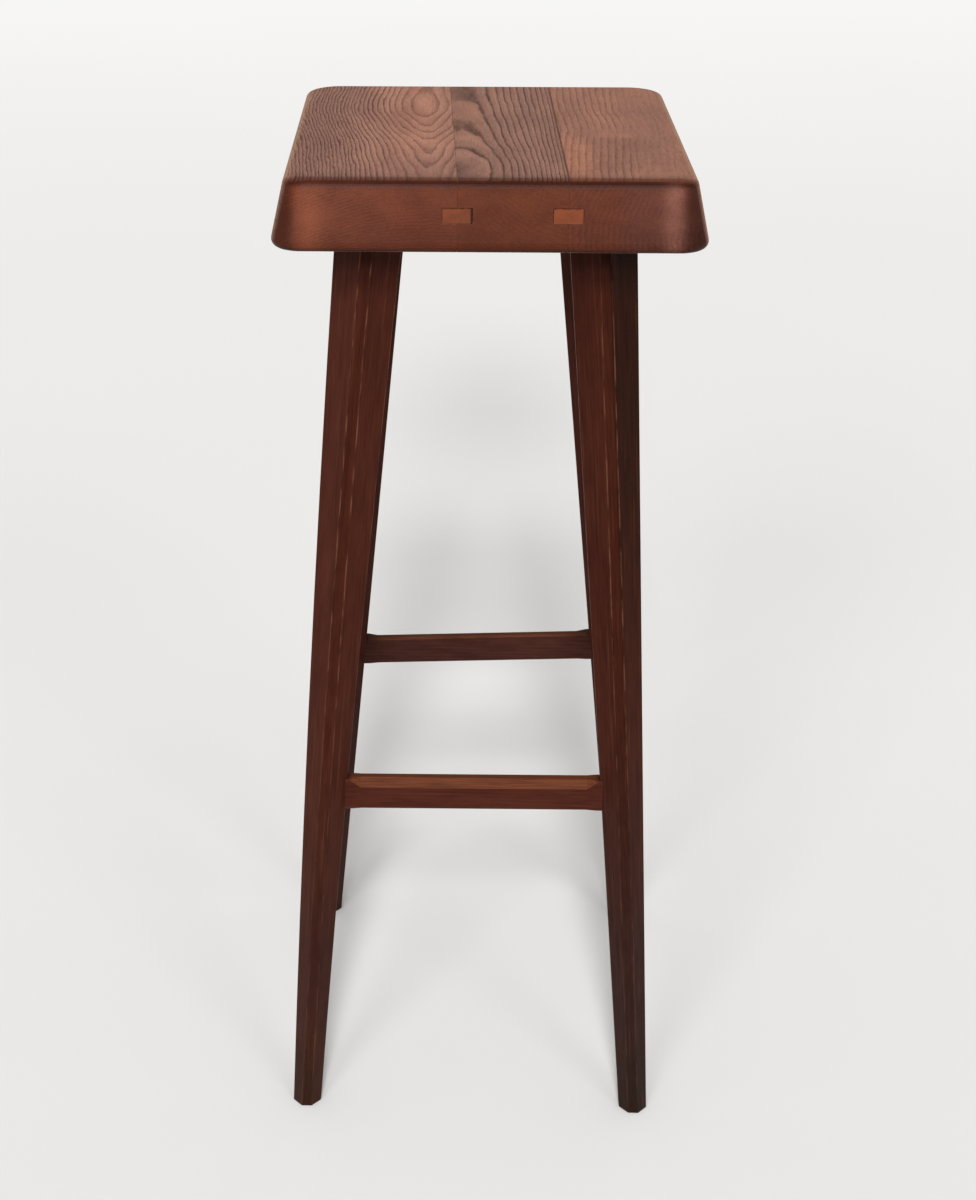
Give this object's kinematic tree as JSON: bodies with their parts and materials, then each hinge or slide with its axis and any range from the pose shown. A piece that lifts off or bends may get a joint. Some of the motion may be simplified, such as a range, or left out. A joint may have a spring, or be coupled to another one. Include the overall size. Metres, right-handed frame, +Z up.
{
  "type": "bar stool",
  "caption": "Dark wooden bar stool: small square seat of joined boards on splayed, tapering legs tied by low rungs.",
  "frame": {"origin": "on the floor, under the middle of the stool's overall box", "axes": "+Z up; Y runs along the grain of the seat, with the end shown in the picture at -Y; +X to the right seen from that end"},
  "size_m": [0.2948, 0.2744, 0.75],
  "materials": {
    "seat_left_wood": "dark red-brown stain with a worn satin finish",
    "seat_centre_wood": "dark red-brown stain with a worn satin finish",
    "seat_right_wood": "dark red-brown stain with a worn satin finish",
    "spline_left_wood": "dark red-brown stain with a worn satin finish",
    "spline_right_wood": "dark red-brown stain with a worn satin finish",
    "leg_front_left_wood": "dark red-brown stain with a worn satin finish",
    "leg_front_right_wood": "dark red-brown stain with a worn satin finish",
    "leg_rear_left_wood": "dark red-brown stain with a worn satin finish",
    "leg_rear_right_wood": "dark red-brown stain with a worn satin finish",
    "rung_front_wood": "dark red-brown stain with a worn satin finish",
    "rung_rear_wood": "dark red-brown stain with a worn satin finish",
    "rung_left_wood": "dark red-brown stain with a worn satin finish",
    "rung_right_wood": "dark red-brown stain with a worn satin finish"
  },
  "bodies": {
    "root": {"seat_board_left": "seat_left_wood", "seat_board_centre": "seat_centre_wood", "seat_board_right": "seat_right_wood", "seat_spline_left": "spline_left_wood", "seat_spline_right": "spline_right_wood", "leg_front_left": "leg_front_left_wood", "leg_front_right": "leg_front_right_wood", "leg_rear_left": "leg_rear_left_wood", "leg_rear_right": "leg_rear_right_wood", "rung_front": "rung_front_wood", "rung_rear": "rung_rear_wood", "rung_left": "rung_left_wood", "rung_right": "rung_right_wood"}
  },
  "joints": []
}
